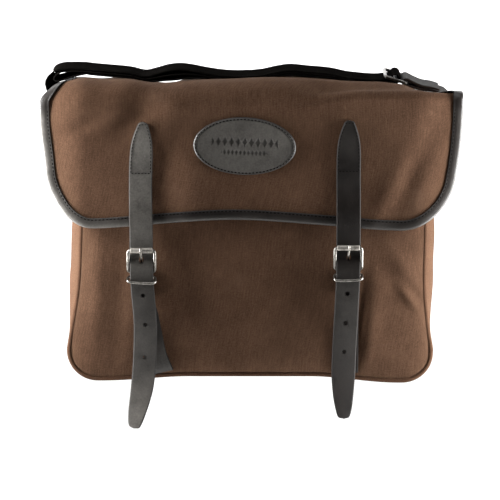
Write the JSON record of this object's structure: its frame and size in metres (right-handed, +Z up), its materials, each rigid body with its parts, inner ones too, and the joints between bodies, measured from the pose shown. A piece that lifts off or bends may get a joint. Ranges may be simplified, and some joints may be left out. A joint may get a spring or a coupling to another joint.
{
  "type": "dog training bag",
  "caption": "Upright canvas shoulder bag with a leather-bound flap, buckled closing straps and a webbing strap folded on top, for dog training kit.",
  "frame": {"origin": "middle of the base, where the base seam's level stretch lies, on the line half way between the front and back seams", "axes": "+X to the viewer's right along the bag's width, -Y out of the front towards the viewer, +Z up"},
  "size_m": [0.3858, 0.1107, 0.3232],
  "materials": {
    "canvas": "brown waxed cotton canvas, matt with a faint sheen at grazing angles",
    "piping": "brown canvas over cord",
    "leather": "near-black brown bridle leather, satin, with brown cut edges",
    "webbing": "black woven webbing, matt",
    "nickel": "polished nickel plate"
  },
  "bodies": {
    "root": {"front_panel": "canvas", "back_panel": "canvas", "gusset": "canvas", "front_piping": "piping", "back_piping": "piping", "flap": "canvas", "flap_binding": "leather", "badge": "leather", "left_closing_strap": "leather", "right_closing_strap": "leather", "left_anchor_strap": "leather", "right_anchor_strap": "leather", "left_buckle_frame": "nickel", "right_buckle_frame": "nickel", "left_buckle_roller": "nickel", "right_buckle_roller": "nickel", "left_buckle_prong": "nickel", "right_buckle_prong": "nickel", "left_strap_keeper": "nickel", "right_strap_keeper": "nickel", "shoulder_strap": "webbing", "right_shoulder_tab": "leather", "left_shoulder_patch": "leather", "slider": "nickel"}
  },
  "joints": []
}
